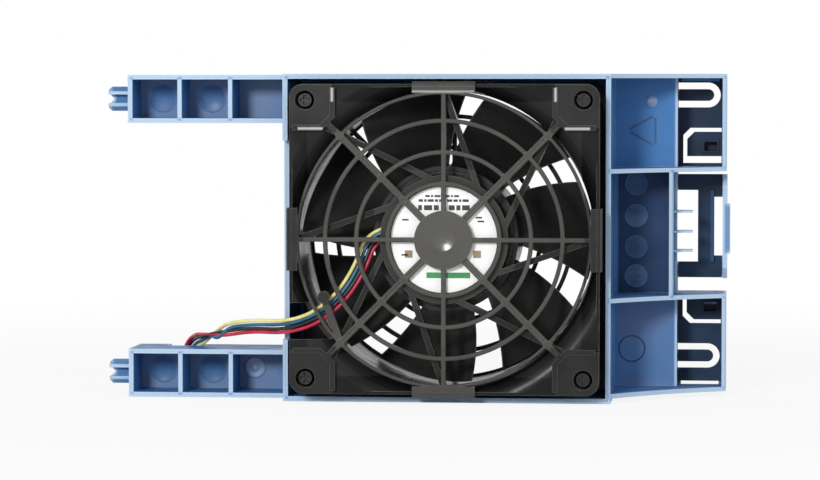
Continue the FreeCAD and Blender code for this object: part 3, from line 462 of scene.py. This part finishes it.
def paper(name, base, dark):
    """Coated label paper with faint fibres."""
    finish = Finish(name)
    fibre = finish.spread(finish.noise(scale=1400.0, detail=4.0), *NOISE_RANGE)
    gloss = finish.spread(finish.noise(scale=90.0), *NOISE_RANGE, to_low=0.32, to_high=0.46)
    finish.wear(Base_Color=finish.mix(fibre, colour(base), colour(dark)), Roughness=gloss)
    finish.relief(fibre, depth=0.004)
    return finish.material


def wound_copper(name):
    """Rows of enamelled wire."""
    finish = Finish(name)
    settings = {"wave_type": "BANDS", "bands_direction": "DIAGONAL"}
    turns = finish.add("ShaderNodeTexWave", settings, Vector=finish.place, Scale=620.0,
                       Distortion=0.6).outputs["Fac"]
    finish.wear(Metallic=1.0,
                Base_Color=finish.mix(turns, colour("7a3c1e"), colour("c9814f")),
                Roughness=finish.spread(turns, 0.0, 1.0, to_low=0.5, to_high=0.28))
    finish.relief(turns, depth=0.08)
    return finish.material


def solder_mask(name):
    """Green varnish over raised tracks."""
    finish = Finish(name)
    settings = {"feature": "DISTANCE_TO_EDGE", "distance": "MANHATTAN"}
    cells = finish.add("ShaderNodeTexVoronoi", settings, Vector=finish.place, Scale=420.0)
    tracks = finish.spread(cells.outputs["Distance"], low=0.04, high=0.08)
    finish.wear(Base_Color=finish.mix(tracks, colour("2f7a4c"), colour("14482c")),
                Roughness=finish.spread(tracks, 0.0, 1.0, to_low=0.3, to_high=0.22))
    finish.relief(tracks, depth=0.03)
    return finish.material


# Each plastic's pale colour goes on its paler edges and rims, partly wear and partly painted highlight
PLASTICS = {
    "blue_plastic": dict(base="4482bd", pale="b4cce4", dark="3b75ad", haze="7f92b0", haze_share=0.25,
                         roughness=0.42, shine=0.2, edge_share=0.75, rim_reach=1.1,
                         tints_and_painted_light=BLUE_HAZE_AND_SHADE, shaded_and_unworn=SHADED_AND_UNWORN),
    "blue_mark": dict(base="2b517e", pale="84a1c3", dark="24476f", roughness=0.42, shine=0.2,
                      edge_share=0.5),
    "blue_floor": dict(base="4482bd", pale="bcd3ea", dark="3b75ad", haze="7f92b0", haze_share=0.25,
                       roughness=0.42, shine=0.2, edge_share=0.0, tints_and_painted_light=BLUE_HAZE_AND_SHADE),
    "blue_recess": dict(base="3f6fa3", pale="7f9cc2", dark="376596", haze="4f739d",
                        roughness=0.36, shine=0.2, edge_share=0.1),
    "blue_spot": dict(base="7f9abd", pale="c3cfdd", dark="6d88ad", roughness=0.25),
    "black_plastic": dict(base="141414", pale="a3a39f", dark="0e0e0f", haze="1f1f1f",
                          roughness=0.27, shine=0.14, edge_radius=0.3, edge_share=0.55,
                          tints_and_painted_light=HOUSING_TINTS),
    "grey_plastic": dict(base="222221", pale="94938d", dark="1b1b1a", haze="2b2b29",
                         roughness=0.3, shine=0.2, edge_radius=0.3, edge_share=0.5,
                         tints_and_painted_light=GUARD_PAINTED_LIGHT),
    # The hub dish's lighter grey matches the painted sheen on the front guard's hub
    "hub_dish": dict(base="4a4946", pale="8f8e88", dark="43423f", haze="4f4e4b",
                     roughness=0.24, shine=0.7, edge_share=0.0),
    "rotor_plastic": dict(base="323231", pale="5f5f5d", dark="272727", haze="343433",
                          roughness=0.3, shine=0.2, edge_share=0.35),
    "white_plastic": dict(base="e3e0d6", pale="f2f0ea", dark="d8d5ca", roughness=0.4),
}
METALS = {
    "steel": dict(base="b9bbbd", roughness=0.28, brushed=(1, 6, 1)),
    "dark_steel": dict(base="363637", roughness=0.3),
    "brass": dict(base="c9a45a", roughness=0.26, brushed=(1, 5, 1)),
    "magnet": dict(base="4a4744", roughness=0.55, scratch=0.02),
}
INSULATIONS = {
    "print_black": dict(base="2a2b2b", dark="1c1d1d"),
    "print_green": dict(base="2f9c52", dark="258246"),
    "print_tan": dict(base="9a8468", dark="84705a"),
    "yellow_wire": dict(base="f3eda4", dark="e2d678"),
    "blue_wire": dict(base="2c6a8e", dark="1d5475"),
    "black_wire": dict(base="1b1b1c", dark="111112"),
    "red_wire": dict(base="cf2b4e", dark="a91d3b"),
}


def make_materials():
    made = {
        "label": paper("label", "ffffff", "f7f8f7"),
        "copper": wound_copper("copper"),
        "green_board": solder_mask("green_board"),
    }
    for maker, looks in ((moulded, PLASTICS), (metal, METALS), (insulation, INSULATIONS)):
        for name, look in looks.items():
            made[name] = maker(name, **look)
    return made


def dress_nodes(materials):
    for part in frame["record"]["subparts"]:
        node = frame["nodes"][part["node"]]
        node.data.materials.clear()
        node.data.materials.append(materials[part["material_slot"]])


# Meshes


def add_object(name, data):
    made = bpy.data.objects.new(name, data)
    bpy.context.scene.collection.objects.link(made)
    return made


def piece(name, material, slot, shape, *sizes, smooth=False):
    """An object on the module's body, with its mesh made by shape(builder, *sizes)."""
    mesh = bpy.data.meshes.new(name)
    builder = bmesh.new()
    shape(builder, *sizes)
    bmesh.ops.recalc_face_normals(builder, faces=builder.faces)
    builder.to_mesh(mesh)
    builder.free()
    for face in mesh.polygons:
        face.use_smooth = smooth
    mesh.materials.append(material)
    made = add_object(name, mesh)
    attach(made, "module")


def bar(x0, x1, z0, z1):
    return ((x0, z0), (x1, z0), (x1, z1), (x0, z1))


def circle(x, z, radius, corners):
    turns = [2 * math.pi * k / corners for k in range(corners)]
    return [(x + radius * math.cos(turn), z + radius * math.sin(turn)) for turn in turns]


def slab(builder, outline, front, back):
    # A flat piece facing the front: outline points are (x, z), front and back are depths.
    near = [builder.verts.new(spot(x, front, z)) for x, z in outline]
    far = [builder.verts.new(spot(x, back, z)) for x, z in outline]
    builder.faces.new(near)
    builder.faces.new(far[::-1])
    count = len(outline)
    for k in range(count):
        after = (k + 1) % count
        builder.faces.new((near[k], far[k], far[after], near[after]))


def lathe(builder, profile, x, z, floor, segments=48):
    # Turns (radius, height over the floor) points about the axis through x, z.
    loops = []
    for radius, height in profile:
        corners = circle(x, z, radius, segments) if radius else [(x, z)]
        loops.append([builder.verts.new(spot(at, floor - height, level)) for at, level in corners])
    for first, second in zip(loops, loops[1:]):
        for k in range(segments):
            after = (k + 1) % segments
            corners = [first[k % len(first)], second[k % len(second)],
                       second[after % len(second)], first[after % len(first)]]
            builder.faces.new(list(dict.fromkeys(corners)))


# Printed and moulded marks


def print_rows(builder):
    for level, height, reach in PRINT_ROWS:
        start = -reach
        count = 0
        while start + DASH_LENGTHS[count % len(DASH_LENGTHS)] < reach:
            end = start + DASH_LENGTHS[count % len(DASH_LENGTHS)]
            slab(builder, bar(start, end, level, level + height), *PRINT_DEPTHS)
            start = end + DASH_GAP
            count += 1
    for start, width in PRINT_BARS:
        slab(builder, bar(start, start + width, *PRINT_BAR_LEVELS), *PRINT_DEPTHS)
    width, height = SHORT_DASH_SIZE
    for start, level in SHORT_DASHES:
        slab(builder, bar(start, start + width, level, level + height), *PRINT_DEPTHS)


def print_blocks(builder):
    for start in PRINT_BLOCKS:
        slab(builder, bar(start, start + PRINT_BLOCK_WIDTH, *PRINT_BLOCK_LEVELS), *PRINT_DEPTHS)


def label_print(materials):
    """Plain dashes, bars, blocks and a band where the real label is printed."""
    piece("label_print_rows", materials["print_black"], "label", print_rows)
    piece("label_print_blocks", materials["print_tan"], "label", print_blocks)
    piece("label_print_band", materials["print_green"], "label", slab, bar(*PRINT_BAND), *PRINT_DEPTHS)


def guard_dish(materials):
    """The front guard's hub dips softly in the middle."""
    shares = [k / DISH_STEPS for k in range(DISH_STEPS + 1)]
    front = [(DISH_RADIUS * share, -DISH_DEPTH * (1 - share ** 2) ** 1.5) for share in shares]
    back = -DISH_DEPTH - DISH_BACK
    piece("guard_hub_dish", materials["hub_dish"], "grey_plastic",
          lathe, front + [(DISH_RADIUS, back), (0, back)], *HUB_MIDDLE, GUARD_FACE, DISH_SEGMENTS,
          smooth=True)


def date_wheel(builder, x, z):
    lathe(builder, DATE_WHEEL_PROFILE, x, z, HEAD_FLOOR)
    for k in range(TICKS):
        turn = Matrix.Rotation(2 * math.pi * k / TICKS, 2)
        tick = [turn @ Vector(corner) for corner in bar(*TICK_RADII, -TICK_SIDE, TICK_SIDE)]
        slab(builder, [(x + corner.x, z + corner.y) for corner in tick],
             HEAD_FLOOR - TICK_HEIGHT, HEAD_FLOOR + MARK_FOOT)


def triangle(builder, x, z):
    turns = [math.radians(turn) for turn in TRIANGLE_TURNS]
    corners = [Vector((math.cos(turn), math.sin(turn))) * TRIANGLE_RADIUS for turn in turns]
    for start, end in zip(corners, corners[1:] + corners[:1]):
        along = (end - start).normalized()
        side = Vector((-along.y, along.x)) * TRIANGLE_SIDE
        start = start + along * TRIANGLE_GAP
        end = end - along * TRIANGLE_GAP
        line = (start - side, end - side, end + side, start + side)
        slab(builder, [(x + point.x, z + point.y) for point in line],
             HEAD_FLOOR - TRIANGLE_HEIGHT, HEAD_FLOOR + MARK_FOOT)


def gate_profile():
    quarter = [math.pi / 2 * k / GATE_STEPS for k in range(GATE_STEPS + 1)]
    return [(GATE_RADIUS * math.sin(turn), GATE_HEIGHT * math.cos(turn) - MARK_FOOT)
            for turn in quarter]


def carrier_marks(materials):
    """Marks on the arms' and the head's floors, and the web in the head's upper edge."""
    mark, spot_mark = materials["blue_mark"], materials["blue_spot"]
    recess, floor = materials["blue_recess"], materials["blue_floor"]
    for number, place in enumerate(DATE_WHEELS, 1):
        piece(f"date_wheel_{number}", mark, "blue_plastic", date_wheel, *place)
    for number, place in enumerate(EJECTOR_MARKS, 1):
        piece(f"ejector_mark_{number}", recess, "blue_plastic",
              lathe, EJECTOR_PROFILE, *place, ARM_FLOOR, smooth=True)
    piece("lower_bay_floor", floor, "blue_plastic", slab, circle(*RECESS_DISC), *RECESS_DEPTHS)
    piece("ringed_mark", spot_mark, "blue_plastic",
          lathe, RINGED_PROFILE, *RINGED_MARK, ARM_FLOOR, smooth=True)
    piece("faint_ring", mark, "blue_plastic",
          lathe, FAINT_RING_PROFILE, *FAINT_RING, HEAD_FLOOR, smooth=True)
    piece("gate_mark", spot_mark, "blue_plastic",
          lathe, gate_profile(), *GATE_MARK, HEAD_FLOOR, smooth=True)
    piece("triangle_mark", mark, "blue_plastic", triangle, *TRIANGLE_MARK)
    piece("head_top_web", floor, "blue_plastic", slab, bar(*TOP_WEB), *TOP_WEB_DEPTHS)


# Lead


def smooth_line(data, points):
    # Adds the smooth line that has these as its control points and reaches both ends.
    spline = data.splines.new("NURBS")
    spline.points.add(len(points) - 1)
    for control, point in zip(spline.points, points):
        control.co = (*point, 1.0)
    spline.order_u = 3
    spline.use_endpoint_u = True


def spline_points(points):
    # Points along the smooth line that has these as its control points.
    data = bpy.data.curves.new("route", "CURVE")
    data.dimensions = "3D"
    data.resolution_u = 16
    smooth_line(data, points)
    holder = add_object("route", data)
    bpy.context.view_layer.update()
    mesh = bpy.data.meshes.new_from_object(holder)
    line = [vertex.co.copy() for vertex in mesh.vertices]
    bpy.data.objects.remove(holder)
    return line


def evenly(line, step):
    # Points one step apart along the line, and its last one.
    made = [line[0]]
    left = step
    for first, second in zip(line, line[1:]):
        run = second - first
        while run.length >= left:
            first = first + run.normalized() * left
            made.append(first)
            run = second - first
            left = step
        left -= run.length
    made.append(line[-1])
    return made


def smooth_step(value, start, end):
    share = min(max((value - start) / (end - start), 0), 1)
    return share * share * (3 - 2 * share)


def wire_line(middle, place, dip_depth, mouth):
    """One wire's points beside the ribbon's middle, ending at its contact in the plug's mouth."""
    line = []
    last = len(middle) - 1
    inner = 1 if abs(place) < 1 else -1
    for index, point in enumerate(middle):
        along = (middle[min(index + 1, last)] - middle[max(index - 1, 0)]).normalized()
        across = Vector((-along.z, 0, along.x)).normalized()
        over = along.cross(across)
        share = index / last
        turned = [smooth_step(share, start, end) for start, end in HALF_TURNS]
        angle = math.pi * sum(turned)
        halfway = sum(math.sin(math.pi * turn) ** 2 for turn in turned)
        wave = WAVE_SHARE * math.sin(share * WAVE_ANGLE + place)
        pitch = WIRE_PITCH * (1 + wave - TURN_NARROWS * halfway)
        beside = (across * math.cos(angle) + over * math.sin(angle)) * (place * pitch)
        rounded = over * (inner * TURN_ROUNDS * halfway * WIRE_DIAMETER)
        dip = dip_depth * math.exp(-((share - DIP_AT) / DIP_SPREAD) ** 2)
        free = point + (beside + rounded + Vector((0, -DIP_FORWARD * dip, -dip))) * MM
        seated = Vector((point.x, point.y, mouth.z - place * PLUG_PITCH * MM))
        line.append(free.lerp(seated, smooth_step(share, *PLUG_SPREAD)))
    return line


def lead(materials):
    """Four wires side by side from the motor, twisted loosely on their way to the plug."""
    plug_low, plug_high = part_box("lead_plug")
    mouth = Vector((plug_high.x, (plug_low.y + plug_high.y) / 2, (plug_low.z + plug_high.z) / 2))
    controls = [spot(x, depth, z) for x, z, depth in LEAD_ROUTE]
    controls += [mouth + Vector((PLUG_APPROACH * MM, 0, 0)), mouth]
    middle = evenly(spline_points(controls), LEAD_STEP * MM)
    for name, place, dip_depth in WIRES:
        line = wire_line(middle, place, dip_depth, mouth)
        # Every second point is kept, and the last one always.
        kept = line[::2] if len(line) % 2 else line[::2] + line[-1:]
        data = bpy.data.curves.new("lead_" + name, "CURVE")
        data.dimensions = "3D"
        data.bevel_depth = WIRE_DIAMETER / 2 * MM
        data.bevel_resolution = 4
        data.resolution_u = 3
        data.use_fill_caps = True
        smooth_line(data, kept)
        data.materials.append(materials[name + "_wire"])
        wire = add_object("lead_" + name, data)
        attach(wire, "module")
        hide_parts("wire_" + name)


# Stage


def stage_floor():
    """The floor fades to white away from the object, and keeps the object's soft shadow."""
    mesh = bpy.data.meshes.new("floor")
    corners = bar(-FLOOR_REACH, FLOOR_REACH, -FLOOR_REACH, FLOOR_REACH)
    mesh.from_pydata([(x, y, 0) for x, y in corners], [], [(0, 1, 2, 3)])
    floor = add_object("floor", mesh)
    material = bpy.data.materials.new("floor")
    material.use_nodes = True
    nodes = Nodes(material.node_tree)
    nodes.tree.nodes.clear()
    distance = nodes.add("ShaderNodeVectorMath", {"operation": "LENGTH"})
    nodes.put(distance.inputs[0], nodes.add("ShaderNodeTexCoord").outputs["Object"])
    whiteness = nodes.spread(distance.outputs["Value"], FLOOR_NEAR, FLOOR_FAR,
                             to_low=FLOOR_WHITE, curve="SMOOTHSTEP")
    share = nodes.product(nodes.background_rays(), whiteness)
    paint = nodes.add("ShaderNodeBsdfDiffuse", Color=FLOOR_PAINT)
    glow = nodes.add("ShaderNodeEmission", Color=WHITE)
    mixed = nodes.add("ShaderNodeMixShader")
    for socket, value in zip(mixed.inputs, (share, paint.outputs[0], glow.outputs[0])):
        nodes.put(socket, value)
    nodes.add("ShaderNodeOutputMaterial", Surface=mixed.outputs[0])
    mesh.materials.append(material)


def world_light():
    """A white background, and a plainer level of light on the object."""
    world = bpy.data.worlds.new("studio")
    bpy.context.scene.world = world
    world.use_nodes = True
    nodes = Nodes(world.node_tree)
    strength = nodes.spread(nodes.background_rays(), 0.0, 1.0, to_low=WORLD_LEVEL)
    nodes.fill(nodes.tree.nodes["Background"], {"Color": WHITE, "Strength": strength})


def aim(made, place, target):
    made.location = place
    made.rotation_mode = "QUATERNION"
    made.rotation_quaternion = (target - Vector(place)).to_track_quat("-Z", "Y")


def lamps():
    middle = (cad_bounds[0] + cad_bounds[1]) / 2
    for name, place, size, power in LAMPS:
        data = bpy.data.lights.new(name, "AREA")
        data.shape = "SQUARE"
        data.size = size
        data.energy = power
        aim(add_object(name, data), place, middle)


def camera():
    target = (cad_bounds[0] + cad_bounds[1]) / 2
    target.y = FACE_Y
    place = spot(*CAMERA_PLACE)
    data = bpy.data.cameras.new("camera")
    data.sensor_width = SENSOR_WIDTH
    data.lens = SENSOR_WIDTH * (target - place).length / (SHOWN_WIDTH * MM)
    data.clip_start = CLIP_START
    data.clip_end = CLIP_END
    made = add_object("camera", data)
    aim(made, place, target)
    bpy.context.scene.camera = made


def main():
    bpy.context.scene.view_settings.view_transform = "Standard"
    camera()
    stage_floor()
    world_light()
    lamps()
    materials = make_materials()
    dress_nodes(materials)
    label_print(materials)
    guard_dish(materials)
    carrier_marks(materials)
    lead(materials)


main()
